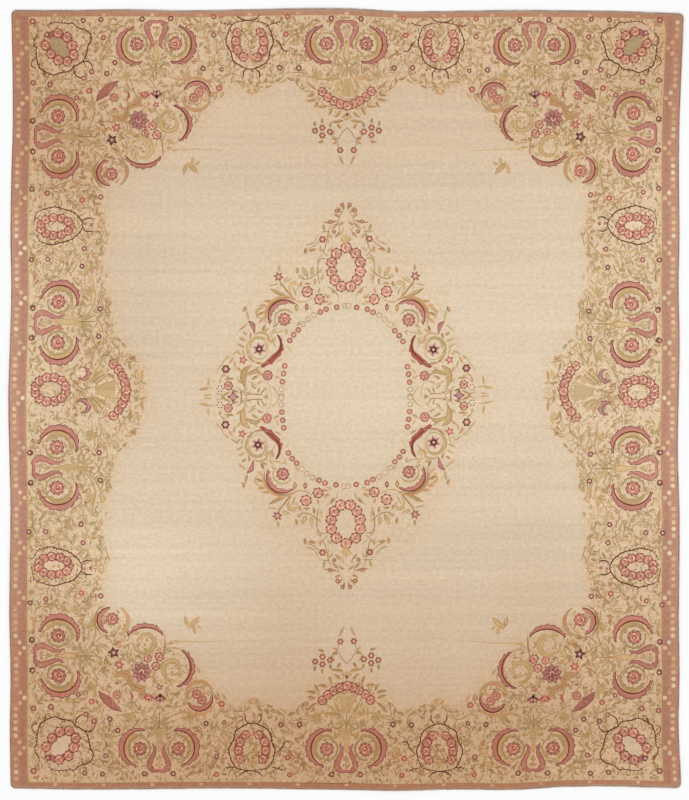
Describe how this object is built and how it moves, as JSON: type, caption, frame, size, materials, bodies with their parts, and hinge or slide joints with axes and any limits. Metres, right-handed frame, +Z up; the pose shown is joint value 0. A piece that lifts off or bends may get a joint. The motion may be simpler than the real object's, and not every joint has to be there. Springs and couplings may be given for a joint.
{
  "type": "agra rug",
  "caption": "Room-size hand-knotted wool rug laid flat, with overcast side and end cords and slightly wavy worn edges.",
  "frame": {"origin": "middle of the rug's underside, on the floor", "axes": "+Z up from the floor, Y along the rug's length, X across its width"},
  "size_m": [3.6836, 4.27, 0.0145],
  "materials": {
    "knotted_pile": "low worn wool pile, matt with a faint sheen, cream field with rose, gold and olive pattern",
    "side_overcasting": "matt wool yarn wound round the side warps",
    "end_overcasting": "matt wool yarn sewn over the end web"
  },
  "bodies": {
    "root": {"carpet": "knotted_pile", "side_cord_left": "side_overcasting", "side_cord_right": "side_overcasting", "end_cord_top": "end_overcasting", "end_cord_bottom": "end_overcasting"}
  },
  "joints": []
}
